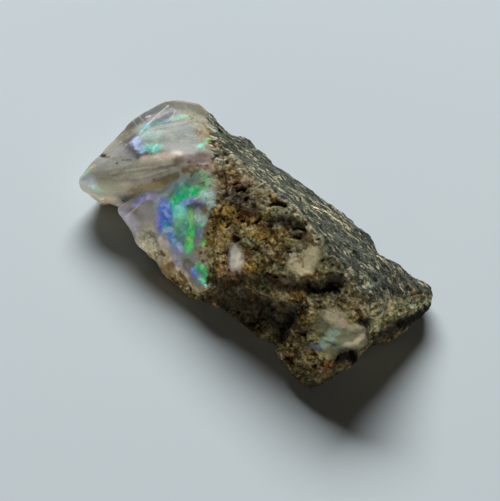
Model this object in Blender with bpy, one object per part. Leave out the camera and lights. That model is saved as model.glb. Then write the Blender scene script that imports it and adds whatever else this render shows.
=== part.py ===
"""Rough boulder opal: a broken block of granular host rock with a mass of precious opal across one end.

The stone lies along X, opal end at -X. +Y is the side that slopes away, -Y is the face that shows the opal,
and z = 0 is the surface it rests on. Lengths below are in millimetres, and MM turns them into metres.
"""

import math

import bmesh
import bpy
import numpy as np
from mathutils import Vector, noise

MM = 0.001

# Overall shape: corners of the lumps that the stone broke into, joined afterwards into one mass.
RIDGE_BLOCK = [
    (-13.4, 11.1, 1.5), (-9.8, 10.7, 0.6), (-4.0, 10.0, -0.6), (3.2, 10.6, -0.6), (7.8, 10.9, 0.6),
    (-12.0, 8.6, 3.6), (-3.0, 7.4, 4.4), (6.0, 8.4, 4.5),
    (-10.7, 3.6, 9.4), (-7.6, 0.2, 10.4), (-3.1, 1.6, 11.3), (2.6, 1.2, 12.2), (7.3, 0.4, 12.7), (11.6, -0.8, 12.3),
    (-5.0, -4.2, 9.0), (1.0, -5.4, 8.4), (5.5, -5.6, 7.4), (9.5, -4.6, 8.6),
    (-6.0, -9.2, -0.6), (0.0, -8.6, -0.6), (6.0, -8.0, -0.6), (10.0, -7.8, -0.6),
    (17.6, -1.2, 9.6), (17.0, 2.8, 7.6), (18.2, 4.6, 0.4), (17.6, -2.4, 0.8),
]
NEAR_CORNER_BLOCK = [
    (10.4, -8.8, 0.8), (11.6, -9.5, 2.4), (15.3, -9.9, 0.9), (17.1, -9.9, 0.9), (18.2, -7.8, 1.4),
    (12.4, -6.2, 6.6), (11.4, -3.4, 9.6), (17.0, -5.4, 7.2), (19.6, -3.2, 6.2), (18.8, -4.6, 4.2),
    (17.0, -1.5, 9.8), (17.6, -3.8, 0.6), (9.0, -4.0, -0.6), (16.0, 1.0, -0.6),
]
FAR_TIP_BLOCK = [
    (10.4, 9.7, 0.2), (13.4, 10.4, 0.8), (16.8, 10.1, 1.8), (19.0, 8.8, 3.2), (19.6, 7.2, 1.0), (18.6, 7.8, 0.0),
    (19.3, 1.7, 2.6), (18.6, 0.9, 0.6), (17.8, 2.6, 7.0), (12.0, 6.6, 5.8), (10.0, 3.0, 9.8), (17.4, 6.8, 5.0),
]
CROWN_BLOCK = [
    (-20.6, -9.2, 4.5), (-20.8, -8.7, 2.4), (-18.6, -8.4, 1.4), (-16.4, -6.8, 1.8), (-20.3, -4.5, 5.7),
    (-21.4, 0.9, 6.8), (-20.9, 5.0, 6.9), (-20.5, 6.2, 6.6), (-18.6, 8.3, 5.7), (-17.6, 10.1, 3.1),
    (-17.0, -2.2, 8.8), (-15.4, 1.6, 9.2), (-12.0, 5.0, 8.2), (-11.4, -1.8, 10.4), (-9.0, -2.0, 10.3),
    (-14.1, -6.8, 5.2), (-10.9, -4.6, 7.9), (-6.4, -0.6, 10.5), (-19.6, 3.0, 0.8), (-19.0, -3.0, 0.8),
    (-15.8, 10.0, 1.0), (-8.0, 9.4, 1.0), (-10.0, -5.0, 1.0), (-19.9, -5.7, -0.3), (-17.9, -5.1, -0.3),
]
LIP_BLOCK = [
    (-15.3, -8.9, 4.4), (-13.6, -7.8, 2.2), (-11.0, -8.1, 2.4), (-8.8, -9.6, 1.2), (-5.6, -9.8, 0.2),
    (-2.4, -9.6, 0.0), (0.6, -9.2, 0.6), (1.8, -9.2, 2.6), (-12.5, -6.0, 6.4), (-9.6, -3.9, 8.4),
    (-7.4, -1.4, 10.4), (-4.4, -2.2, 10.0), (1.2, -7.4, 5.2), (-0.4, -6.4, 7.2),
    (-11.0, -6.0, 1.0), (-2.0, -2.0, 1.0),
]

# Hollows broken out of the mass: centre, and radii along X, Y and Z.
HOLLOWS = {
    "scoop under the ridge": ((6.0, -9.9, 3.8), (4.4, 3.9, 4.4)),
    "bowl in the lower opal": ((-6.4, -9.2, 9.9), (5.6, 5.2, 5.2)),
    "notch above the tooth": ((-2.4, -9.6, 5.0), (1.8, 1.5, 1.3)),
    "undercut below the opal tip": ((-15.9, -9.8, 1.0), (2.1, 3.6, 1.8)),
    "crease between the two lobes": ((-15.4, -8.6, 6.6), (2.6, 1.0, 1.5)),
    "bay in the far side": ((9.4, 12.0, 2.0), (1.5, 1.7, 3.2)),
    "pit in the near end": ((19.6, -6.0, 3.2), (1.9, 1.7, 1.5)),
    "slit in the near end": ((18.6, -1.2, 6.9), (1.5, 0.7, 0.9)),
    "dip on the ridge": ((-3.8, 3.6, 12.2), (1.6, 1.1, 1.6)),
    "flat on the far side": ((-6.2, 13.2, 3.0), (5.8, 3.9, 3.8)),
    "bay below the lip": ((-12.1, -11.9, 2.4), (2.7, 3.2, 2.8)),
    "notch at the shoulder of the tip": ((-22.2, -5.2, 5.4), (1.7, 1.3, 1.8)),
}

# The contact between opal and rock: a rough wall in plan, and a floor that the opal lies on.
CONTACT_WALL = [(-21.0, 14.0), (-17.2, 8.3), (-14.1, 6.0), (-11.0, 4.0), (-7.7, 1.2), (-5.0, -0.8),
                (-3.6, -2.4), (-2.1, -5.1), (-1.2, -7.0), (0.6, -7.9), (1.6, -8.8), (4.0, -14.0)]
WALL_NORMAL = (0.75, 0.66)
FLOOR_HEIGHT = 1.7
FLOOR_TILT = (0.03, 0.03)
CORNER_RADIUS = 2.2
CORNER_TURNS = 5
CONTACT_TOP = 16.0
CONTACT_REACH = 28.0
CONTACT_STEP = 0.8
CONTACT_ENDS = (-14.0, 14.0)
CONTACT_GAP = 0.35
CONTACT_WAVE, CONTACT_WAVE_SIZE = 0.4, 1.8
CONTACT_RIPPLE, CONTACT_RIPPLE_SIZE = 0.16, 0.9
CONTACT_BLEND = 1.0

GROUND_LOW, GROUND_HIGH = (-30.0, -20.0, -6.0), (30.0, 20.0, 0.0)
GROUND_SNAP = 0.12
SMALLEST = 1e-6

# Surface: how fine the skin is, how worn its edges are, and the height and width of its relief.
VOXEL = 0.36
WEAR_PASSES, WEAR_FACTOR = 2, 0.5
COARSE_RELIEF, COARSE_SIZE = 0.30, 3.4
COARSE_ROUGHNESS, COARSE_STEP, COARSE_OCTAVES = 0.9, 2.1, 3
ROCK_FACET, ROCK_FACET_SIZE = 0.26, 3.0
FACET_TILT, FACET_STEP, FACET_LIMIT = 1.6, 0.5, 0.5
ROCK_LUMP, ROCK_LUMP_SIZE = 0.16, 1.3
OPAL_SCALLOP, OPAL_SCALLOP_SIZE = 0.30, 3.6
OPAL_COARSE_SHARE = 0.6
SCALLOP_MIDDLE = 0.3
CHIP_SPREAD = 3.7
HALF = Vector((0.5, 0.5, 0.5))
ROCK_TRIANGLES = 6200
OPAL_TRIANGLES = 3000
SHARP_EDGE = math.radians(28)

OPAL_COLOUR, OPAL_ROUGHNESS = (0.52, 0.54, 0.52, 1.0), 0.25
ROCK_COLOUR, ROCK_ROUGHNESS = (0.16, 0.13, 0.09, 1.0), 0.8


def clear_scene():
    for obj in list(bpy.data.objects):
        bpy.data.objects.remove(obj)


def new_object(name, bm):
    """Turns a bmesh in millimetres into an object in metres."""
    bmesh.ops.scale(bm, vec=(MM, MM, MM), verts=bm.verts)
    mesh = bpy.data.meshes.new(name)
    bm.to_mesh(mesh)
    bm.free()
    obj = bpy.data.objects.new(name, mesh)
    bpy.context.scene.collection.objects.link(obj)
    return obj


def apply_modifiers(obj):
    """Replaces the object's mesh with the one that its modifiers make."""
    graph = bpy.context.evaluated_depsgraph_get()
    made = bpy.data.meshes.new_from_object(obj.evaluated_get(graph))
    old = obj.data
    obj.modifiers.clear()
    obj.data = made
    if old.users == 0:
        bpy.data.meshes.remove(old)


def remesh(obj):
    """Rebuilds the surface as one even closed skin."""
    skin = obj.modifiers.new("skin", "REMESH")
    skin.mode = "VOXEL"
    skin.voxel_size = VOXEL * MM


def add_lump(bm, corners):
    """Adds the broken lump that has these corners, with flat fracture faces between them."""
    lump = bmesh.new()
    for corner in corners:
        lump.verts.new(corner)
    hull = bmesh.ops.convex_hull(lump, input=lump.verts)
    bmesh.ops.delete(lump, geom=hull["geom_interior"], context="VERTS")
    mesh = bpy.data.meshes.new("lump")
    lump.to_mesh(mesh)
    lump.free()
    bm.from_mesh(mesh)
    bpy.data.meshes.remove(mesh)


def rough_mass():
    """The lumps grown together into one closed mass, with its edges a little worn."""
    bm = bmesh.new()
    for corners in (RIDGE_BLOCK, NEAR_CORNER_BLOCK, FAR_TIP_BLOCK, CROWN_BLOCK, LIP_BLOCK):
        add_lump(bm, corners)
    mass = new_object("mass", bm)
    remesh(mass)
    wear = mass.modifiers.new("wear", "SMOOTH")
    wear.iterations = WEAR_PASSES
    wear.factor = WEAR_FACTOR
    apply_modifiers(mass)
    return mass


def wall_x(y):
    """Where the contact wall runs at this place across the stone."""
    wall = np.array(CONTACT_WALL)
    return float(np.interp(-y, -wall[:, 1], wall[:, 0]))


def in_opal(point):
    """From 0 in the rock to 1 in the opal, over the blend's width at the contact."""
    beside = min(1.0, max(0.0, 0.5 + (wall_x(point.y) - point.x) / CONTACT_BLEND))
    above = min(1.0, max(0.0, (point.z - FLOOR_HEIGHT) / CONTACT_BLEND))
    return beside * above


def press_hollows(point):
    """Moves a point that lies in a hollow out to the hollow's wall."""
    for centre, radii in HOLLOWS.values():
        across = Vector((point[i] - centre[i]) / radii[i] for i in range(3))
        depth = across.length
        if SMALLEST < depth < 1.0:
            point = Vector(centre[i] + across[i] / depth * radii[i] for i in range(3))
    return point


def facet(point, size):
    """Height of a broken surface made of flat chips about this wide, from -0.5 to 0.5."""
    middle = noise.voronoi(point / size)[1][0]
    tilt = noise.cell_vector(middle * CHIP_SPREAD) - HALF
    height = FACET_TILT * tilt.dot(point / size - middle) + FACET_STEP * (noise.cell(middle) - HALF.x)
    return max(-FACET_LIMIT, min(FACET_LIMIT, height))


def scallop(point, size):
    """Height of shell-like hollows about this wide that meet at sharp rims, from 0 to about 1."""
    return min(1.0, noise.voronoi(point / size)[0][0] ** 2)


def relief(point, opal):
    """How far the surface stands out here: chipped on the rock, scooped on the opal."""
    rough = noise.fractal(point / COARSE_SIZE, COARSE_ROUGHNESS, COARSE_STEP, COARSE_OCTAVES,
                          noise_basis="PERLIN_ORIGINAL")
    coarse = COARSE_RELIEF * rough
    lumps = ROCK_LUMP * noise.noise(point / ROCK_LUMP_SIZE)
    rock = coarse + ROCK_FACET * facet(point, ROCK_FACET_SIZE) + lumps
    smooth = OPAL_COARSE_SHARE * coarse + OPAL_SCALLOP * (scallop(point, OPAL_SCALLOP_SIZE) - SCALLOP_MIDDLE)
    return rock * (1 - opal) + smooth * opal


def weather(mass):
    """Presses the hollows into the mass and raises its relief along the normals."""
    mesh = mass.data
    normals = [vertex.normal.copy() for vertex in mesh.vertices]
    for vertex, normal in zip(mesh.vertices, normals):
        point = press_hollows(vertex.co / MM)
        vertex.co = (point + normal * relief(point, in_opal(point))) * MM
    mesh.update()
    remesh(mass)
    apply_modifiers(mass)


def contact_profile():
    """Points of the contact seen along Y, with their outward directions: down the wall, and along the floor."""
    points = [((0.0, CONTACT_TOP - CONTACT_STEP * i), (1.0, 0.0))
              for i in range(int((CONTACT_TOP - CORNER_RADIUS) / CONTACT_STEP))]
    for i in range(CORNER_TURNS + 1):
        angle = i / CORNER_TURNS * math.pi / 2
        turn = (math.cos(angle), -math.sin(angle))
        points.append(((CORNER_RADIUS * (turn[0] - 1), CORNER_RADIUS * (1 + turn[1])), turn))
    points += [((-CORNER_RADIUS - CONTACT_STEP * i, 0.0), (0.0, -1.0))
               for i in range(1, int(CONTACT_REACH / CONTACT_STEP))]
    points.append(((points[-1][0][0], CONTACT_TOP), (0.0, 0.0)))
    return points


def contact_room(name, gap):
    """The room on the opal's side of the contact, closed, with the contact moved out by the gap."""
    profile = contact_profile()
    bm = bmesh.new()
    rings = []
    for y in np.arange(CONTACT_ENDS[0], CONTACT_ENDS[1] + CONTACT_STEP / 2, CONTACT_STEP):
        ring = []
        for (along, up), (out_x, out_z) in profile:
            lift = FLOOR_HEIGHT + FLOOR_TILT[0] * along + FLOOR_TILT[1] * y
            point = Vector((wall_x(y) + along, y, up + lift))
            wave = CONTACT_WAVE * noise.noise_vector(point / CONTACT_WAVE_SIZE)
            ripple = CONTACT_RIPPLE * noise.noise_vector(point / CONTACT_RIPPLE_SIZE)
            out = Vector((out_x * WALL_NORMAL[0], out_x * WALL_NORMAL[1], out_z))
            ring.append(bm.verts.new(point + wave + ripple + gap * out))
        rings.append(ring)
    count = len(profile)
    for near, far in zip(rings, rings[1:]):
        for i in range(count):
            j = (i + 1) % count
            bm.faces.new((near[i], near[j], far[j], far[i]))
    bm.faces.new(rings[0][::-1])
    bm.faces.new(rings[-1])
    bmesh.ops.recalc_face_normals(bm, faces=bm.faces)
    return cutter(new_object(name, bm))


def ground_box():
    """A box whose top is the plane that the stone rests on."""
    bm = bmesh.new()
    bmesh.ops.create_cube(bm, size=1.0)
    low, high = Vector(GROUND_LOW), Vector(GROUND_HIGH)
    for vertex in bm.verts:
        vertex.co = Vector((low[i] + high[i]) / 2 + vertex.co[i] * (high[i] - low[i]) for i in range(3))
    return cutter(new_object("ground", bm))


def cutter(obj):
    """Marks an object as a tool that only cuts others."""
    obj.hide_render = True
    obj.display_type = "WIRE"
    return obj


def cut(obj, tool, operation="DIFFERENCE"):
    """Takes the tool's shape out of the object, or keeps only what is inside it."""
    away = obj.modifiers.new("cut", "BOOLEAN")
    away.operation = operation
    away.solver = "EXACT"
    away.object = tool
    apply_modifiers(obj)


def bodies_of(bm):
    """The separate bodies of a mesh, each as a set of vertices."""
    unseen = set(bm.verts)
    bodies = []
    while unseen:
        stack = [unseen.pop()]
        body = set(stack)
        while stack:
            for edge in stack.pop().link_edges:
                for vertex in edge.verts:
                    if vertex not in body:
                        body.add(vertex)
                        stack.append(vertex)
        unseen -= body
        bodies.append(body)
    return bodies


def keep_largest(obj):
    """Drops the crumbs that a cut leaves beside the main body."""
    bm = bmesh.new()
    bm.from_mesh(obj.data)
    bodies = bodies_of(bm)
    main_body = max(bodies, key=len)
    bmesh.ops.delete(bm, geom=[v for body in bodies if body is not main_body for v in body], context="VERTS")
    bm.to_mesh(obj.data)
    bm.free()


def settle(obj):
    """Brings the corners of the base, which thinning moves a little, back onto the ground plane."""
    for vertex in obj.data.vertices:
        if vertex.co.z < GROUND_SNAP * MM:
            vertex.co.z = 0.0


def piece_of(mass, name, tool, operation, triangles, colour, roughness):
    """One named piece of the stone: its share of the mass, thinned to its number of triangles."""
    piece = bpy.data.objects.new(name, mass.data.copy())
    bpy.context.scene.collection.objects.link(piece)
    cut(piece, tool, operation)
    remesh(piece)
    apply_modifiers(piece)
    keep_largest(piece)
    thin = piece.modifiers.new("thin", "DECIMATE")
    piece.data.calc_loop_triangles()
    thin.ratio = min(1.0, triangles / len(piece.data.loop_triangles))
    apply_modifiers(piece)
    settle(piece)
    piece.data.shade_smooth()
    piece.data.set_sharp_from_angle(angle=SHARP_EDGE)
    material = bpy.data.materials.new(name)
    material.use_nodes = True
    shader = material.node_tree.nodes["Principled BSDF"]
    shader.inputs["Base Color"].default_value = colour
    shader.inputs["Roughness"].default_value = roughness
    shader.inputs["Metallic"].default_value = 0.0
    piece.data.materials.clear()
    piece.data.materials.append(material)
    return piece


def centre(pieces):
    """Moves the stone so that the origin is at the middle of its base."""
    corners = np.array([v.co for piece in pieces for v in piece.data.vertices])
    low, high = corners.min(0), corners.max(0)
    shift = Vector((-(low[0] + high[0]) / 2, -(low[1] + high[1]) / 2, -low[2]))
    for piece in pieces:
        for vertex in piece.data.vertices:
            vertex.co += shift
    return shift


def main():
    clear_scene()
    mass = rough_mass()
    weather(mass)
    cut(mass, ground_box())
    opal_room = contact_room("opal_room", 0.0)
    rock_clearance = contact_room("rock_clearance", CONTACT_GAP)
    opal = piece_of(mass, "opal", opal_room, "INTERSECT", OPAL_TRIANGLES, OPAL_COLOUR, OPAL_ROUGHNESS)
    rock = piece_of(mass, "host_rock", rock_clearance, "DIFFERENCE", ROCK_TRIANGLES, ROCK_COLOUR, ROCK_ROUGHNESS)
    bpy.data.objects.remove(mass)
    return centre([opal, rock])


main()
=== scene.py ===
"""Looks of the rough boulder opal: its fine surface, its colours, and the floor, light and camera around it.

Lengths are in millimetres, and MM turns them into metres. A place written as (u, v) is a pixel of the 500 x 501
photograph: it is followed along the camera's line of sight to the point of the stone that it shows, and whatever
is painted or carved there lies on the stone around that point.
"""

import math

import bpy
import bmesh
import numpy as np
from mathutils import Matrix, Vector
from mathutils.bvhtree import BVHTree


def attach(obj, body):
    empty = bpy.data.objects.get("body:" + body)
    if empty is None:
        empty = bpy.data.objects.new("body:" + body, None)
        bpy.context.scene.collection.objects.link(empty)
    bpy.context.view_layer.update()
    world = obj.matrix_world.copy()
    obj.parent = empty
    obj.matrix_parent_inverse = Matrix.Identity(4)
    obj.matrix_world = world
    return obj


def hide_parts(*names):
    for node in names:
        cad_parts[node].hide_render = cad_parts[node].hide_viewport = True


MM = 0.001

# The camera, at the photograph's angle: pixels are this large at the point that it looks at.
IMAGE_WIDTH, IMAGE_HEIGHT = 500, 501
CAMERA_AZIMUTH, CAMERA_ELEVATION = math.radians(45), math.radians(52)
CAMERA_DISTANCE = 220.0
CAMERA_SENSOR = 36.0
PIXEL = 0.111
AIM = np.array([2.0, -3.24, 5.0])
BACK = np.array([
    math.sin(CAMERA_AZIMUTH) * math.cos(CAMERA_ELEVATION),
    -math.cos(CAMERA_AZIMUTH) * math.cos(CAMERA_ELEVATION),
    math.sin(CAMERA_ELEVATION),
])
RIGHT = np.array([math.cos(CAMERA_AZIMUTH), math.sin(CAMERA_AZIMUTH), 0.0])
UP = np.cross(BACK, RIGHT)
EYE = AIM + CAMERA_DISTANCE * BACK

# Floor, and two soft lights: a window behind the stone, and a low pale wall in front of it. Each light has its
# azimuth and elevation in degrees, distance, width and height in millimetres, power in watts, and colour.
FLOOR_HALF = 600.0
FLOOR_COLOUR = (216, 226, 228)
LIGHTS = {
    "window": (138, 33.5, 1500, 1150, 440, 33.0, (250, 252, 255)),
    "pale wall": (318, 1.3, 1200, 1500, 50, 13.0, (255, 245, 230)),
}
ROOM_COLOUR, ROOM_STRENGTH = (232, 210, 180), 0.01

# Fineness of the two skins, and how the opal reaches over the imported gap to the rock.
ROCK_VOXEL, ROCK_TRIANGLES = 0.134, 185000
OPAL_VOXEL, OPAL_TRIANGLES = 0.114, 145000
ROCK_SOFTENING, OPAL_SOFTENING, EVEN_PASSES, SOFTEN_FACTOR = 6, 9, 2, 0.5
WELD = 1e-6
REACH_FULL, REACH_END, REACH_OVER = 0.55, 1.3, 0.2
HIDDEN_NEAR, HIDDEN_FACING, HIDDEN_BASE = 0.7, 0.75, 0.02
BASE_FADE = 0.5
CRUST_WIDTH, CRUST_WANDER = 1.1, 0.8
STAIN_WIDTH, STAIN_STRENGTH, STAIN = 2.2, 0.7, (130, 108, 66)
TILE_SIZE = 0.45
OPAL_DEPTH, ROCK_DEPTH = 0.78, 0.68

# Fine pale and dark flecks of the far slope, drawn out along the stone.
FLECK_SIZE, FLECK_STRETCH, FLECK_RANGE = 0.16, (0.4, 1.0, 1.0), (0.3, 1.5)

# Relief: size and height of each layer.
MASS, MASS_SIZE = 0.22, 2.2
CRUMB, CRUMB_SIZE = 0.11, 1.3
BIT, BIT_SIZE = 0.11, 0.65
GRAIN, GRAIN_SIZE = 0.12, 0.36
LONG_GRAIN = np.array([2.6, 0.8, 0.8])
PIT, PIT_SIZE, PIT_ZONE = 0.28, 0.9, 4.0
PLATE, PLATE_SIZE = 0.07, 3.0
CHIP, CHIP_SIZE = 0.06, 1.2
FACET, FACET_SIZE = 0.02, 0.5
STREAK, STREAK_SIZE, STREAK_LENGTH, STREAK_SHARPNESS = 0.014, 0.17, 6.0, 2.2
HATCH_SIZE, HATCH_LENGTH = 0.17, 3.0
THIN_LINE = 4.5
SEAM_FILL, SEAM_WIDTH = 0.15, 0.7

LATTICE = np.array([73856093, 19349663, 83492791], dtype=np.int64)
SALT, STIR, WORD = 2654435761, 1274126177, 0xFFFFFFFF
CORNERS = np.array([(i, j, k) for i in (0, 1) for j in (0, 1) for k in (0, 1)])
AROUND = np.array([(i, j, k) for i in (-1, 0, 1) for j in (-1, 0, 1) for k in (-1, 0, 1)])
PIN_STEP = 2.5

# Colours, as they look on a screen.
GREY, MAUVE_GREY, LILAC_GREY = (178, 178, 170), (132, 126, 120), (204, 202, 210)
SUGAR_WHITE, MILK, MINT, PALE_MINT = (162, 168, 158), (206, 206, 186), (150, 245, 205), (198, 240, 222)
PEACH, TAN, OLIVE, OCHRE = (255, 238, 216), (214, 214, 190), (112, 110, 82), (208, 170, 78)
RUST, BROWN, DARK_BROWN, DEEP_BROWN, BLACK = (138, 90, 24), (156, 130, 70), (50, 29, 4), (74, 44, 6), (5, 4, 3)
OLIVE_BROWN, SIENNA, PALE_CREAM = (142, 138, 88), (104, 70, 34), (242, 234, 196)
EMERALD, GREEN, LIME, TEAL = (30, 235, 150), (100, 255, 135), (185, 255, 95), (84, 160, 158)
CYAN, SKY, CORNFLOWER, ROYAL = (130, 240, 250), (195, 225, 255), (130, 180, 255), (84, 132, 255)
VIOLET, LAVENDER, PINK, ORANGE = (172, 158, 255), (206, 204, 255), (226, 196, 200), (240, 165, 110)
GOLD, CREAM, WHITE, STONE = (232, 208, 158), (236, 222, 176), (240, 238, 226), (190, 180, 146)
SLATE, GREY_GREEN, COAL, SHADE = (86, 90, 76), (164, 172, 134), (28, 29, 23), (84, 82, 82)
MISTY = (128, 136, 110)

# Brush strokes on the opal's body: colour, width in pixels, strength, line of pixels.
OPAL_BODY = {
    "dark facet at the top": (SHADE, 19, 0.8, [(120, 134), (134, 122), (150, 112), (166, 105)]),
    "dark band under the streak": (SHADE, 9, 0.7, [(152, 124), (164, 118), (172, 113)]),
    "olive tint at the top": (OLIVE, 22, 0.75, [(176, 105), (196, 108), (208, 117)]),
    "left facet": (STONE, 20, 0.4, [(106, 150), (118, 140), (128, 134)]),
    "sugary face": (SUGAR_WHITE, 22, 0.95, [(150, 139), (172, 136), (190, 131)]),
    "sugary face, right": (SUGAR_WHITE, 18, 0.8, [(190, 139), (206, 130)]),
    "sugary face, top": (SUGAR_WHITE, 9, 0.8, [(148, 130), (170, 127), (192, 121)]),
    "white of the sugary face": (MILK, 7, 0.35, [(166, 130), (176, 142), (188, 140)]),
    "white edge of the plate": (MILK, 2.5, 0.5, [(150, 129), (168, 126), (186, 122)]),
    "grey under the sugary face": (GREY, 11, 0.6, [(166, 146), (182, 146), (194, 148)]),
    # Painted highlight: the bright line that light makes along the crown's edge.
    "painted bright rim of the crown": (MILK, 3, 0.5, [(104, 150), (126, 125), (150, 108)]),
    "peach band": (PEACH, 10, 0.8, [(142, 160), (158, 158), (178, 154)]),
    "peach band, lower": (TAN, 8, 0.6, [(136, 166), (154, 164), (172, 162)]),
    "peach edge": (RUST, 2.5, 0.25, [(138, 170), (150, 166), (166, 167), (176, 164)]),
    "hatched part": (STONE, 20, 0.6, [(190, 113), (203, 128), (210, 146)]),
    "tail of the stain": (SIENNA, 11, 0.6, [(178, 160), (186, 158), (194, 159)]),
    "mauve of the stain": (SIENNA, 17, 1.0, [(196, 159), (204, 157), (212, 160)]),
    "brown of the stain": (RUST, 7, 0.6, [(184, 169), (196, 168), (208, 167)]),
    "rust at the stain's end": (RUST, 8, 0.9, [(206, 167), (216, 165)]),
    "fleck of the notch": (MILK, 3, 0.7, [(112, 156), (126, 155)]),
    "dark dash": (DARK_BROWN, 1.6, 0.6, [(122, 160), (131, 160)]),
    "layers below the notch": (MILK, 16, 0.6, [(112, 168), (128, 168), (146, 170)]),
    "dark layer": (MAUVE_GREY, 1.8, 0.25, [(112, 176), (132, 172), (152, 170), (172, 166)]),
    "dark layer, lower": (MAUVE_GREY, 1.8, 0.25, [(120, 182), (140, 180), (158, 174), (170, 171)]),
    "white layer": (WHITE, 1.8, 0.4, [(126, 170), (144, 168), (158, 166)]),
    "white layer, lower": (WHITE, 1.8, 0.35, [(130, 178), (148, 176), (166, 170)]),
    "pale layer": (MILK, 3.5, 0.6, [(114, 178), (134, 176), (156, 172)]),
    "pale fleck": (MILK, 6, 0.6, [(138, 176), (142, 179)]),
    "pale fleck, lower": (MILK, 6, 0.5, [(120, 185), (128, 186)]),
    "tip face": (GREY, 18, 0.8, [(85, 182), (97, 183)]),
    "olive part of the tip face": (GREY_GREEN, 17, 0.3, [(104, 182), (116, 187)]),
    "shade between the lobes": (OLIVE, 8, 0.8, [(154, 182), (166, 180), (176, 176)]),
    "brown wedge": (STONE, 10, 0.6, [(128, 191), (146, 188), (160, 186)]),
    "ochre of the wedge": (OCHRE, 6, 0.25, [(140, 188), (156, 184), (170, 181)]),
    "pink of the wedge": (PINK, 6, 0.4, [(128, 196), (138, 193)]),
    # Painted light: the glow of light passing through the tip's lower rim, and painted highlights on that rim.
    "painted glow of the rim": (GOLD, 4.6, 0.55, [(88, 194), (104, 198), (117, 199)]),
    "glints of the rim": (WHITE, 2.5, 0.9, [(86, 193), (89, 195)]),
    "glint of the rim, right": (WHITE, 2, 0.8, [(100, 199), (103, 199)]),
    "brown under the rim": (RUST, 5, 0.9, [(98, 203), (108, 206), (117, 206)]),
    "smooth lip": (GREY, 22, 0.6, [(124, 206), (136, 212), (142, 226)]),
    "grey hollow of the lip": (LILAC_GREY, 16, 0.55, [(143, 206), (150, 214), (148, 226)]),
    "beige grains": (TAN, 26, 0.75, [(146, 240), (152, 254), (166, 264), (178, 274)]),
    "pale grains": (CREAM, 6, 0.6, [(152, 250), (166, 254), (176, 268)]),
    "pale grains at the edge": (CREAM, 5, 0.6, [(144, 246), (152, 262), (168, 272)]),
    "mauve bowl": (SHADE, 11, 0.8, [(188, 203), (198, 203), (204, 209)]),
    "brown line under the bowl": (STONE, 5, 0.8, [(190, 250), (203, 250), (212, 246)]),
    "mauve band by the rock": (SIENNA, 8, 0.7, [(207, 208), (210, 222), (208, 238)]),
    "mauve left of the blade": (MAUVE_GREY, 10, 0.8, [(187, 264), (194, 278), (202, 290)]),
    "tooth": (STONE, 9, 0.6, [(204, 288), (209, 296)]),
    "tan rim of the tooth": (TAN, 3, 0.8, [(188, 284), (199, 293), (209, 299)]),
    "rust by the tooth": (RUST, 11, 0.85, [(213, 256), (219, 266), (217, 280)]),
    "stain at the rock, high": (OLIVE, 12, 0.75, [(213, 126), (212, 140), (213, 152)]),
    "brown at the rock, high": (BROWN, 5, 0.8, [(206, 124), (212, 134), (209, 146)]),
    "stain at the rock": (BROWN, 8, 0.75, [(217, 174), (221, 192), (218, 214), (213, 232)]),
    # Painted highlights.
    "white glints": (WHITE, 2.5, 0.8, [(217, 251), (219, 252)]),
    "dark spot below": (DARK_BROWN, 6, 0.9, [(146, 259), (149, 261)]),
    "rusty spot below": (RUST, 8, 0.95, [(160, 269), (166, 275)]),
    "dark rim below": (DARK_BROWN, 8, 0.95, [(166, 281), (180, 288), (194, 298)]),
    "notch spot": (DARK_BROWN, 4.0, 0.9, [(101, 155), (104, 156)]),
    "brown by the notch": (RUST, 3, 0.7, [(105, 157), (109, 157)]),
    "speck": (DARK_BROWN, 2.5, 0.9, [(117, 163)]),
    "speck on the lip": (DARK_BROWN, 2.5, 0.9, [(123, 201)]),
    "white line of the lip": (WHITE, 2.0, 0.6, [(125, 217), (131, 213), (136, 208), (142, 201), (150, 198)]),
    "white crease": (LILAC_GREY, 6, 0.8, [(156, 206), (162, 197), (174, 187), (188, 177)]),
    "line right of the lip": (MILK, 2.2, 0.5, [(157, 204), (155, 216), (150, 228), (144, 234)]),
}

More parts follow.
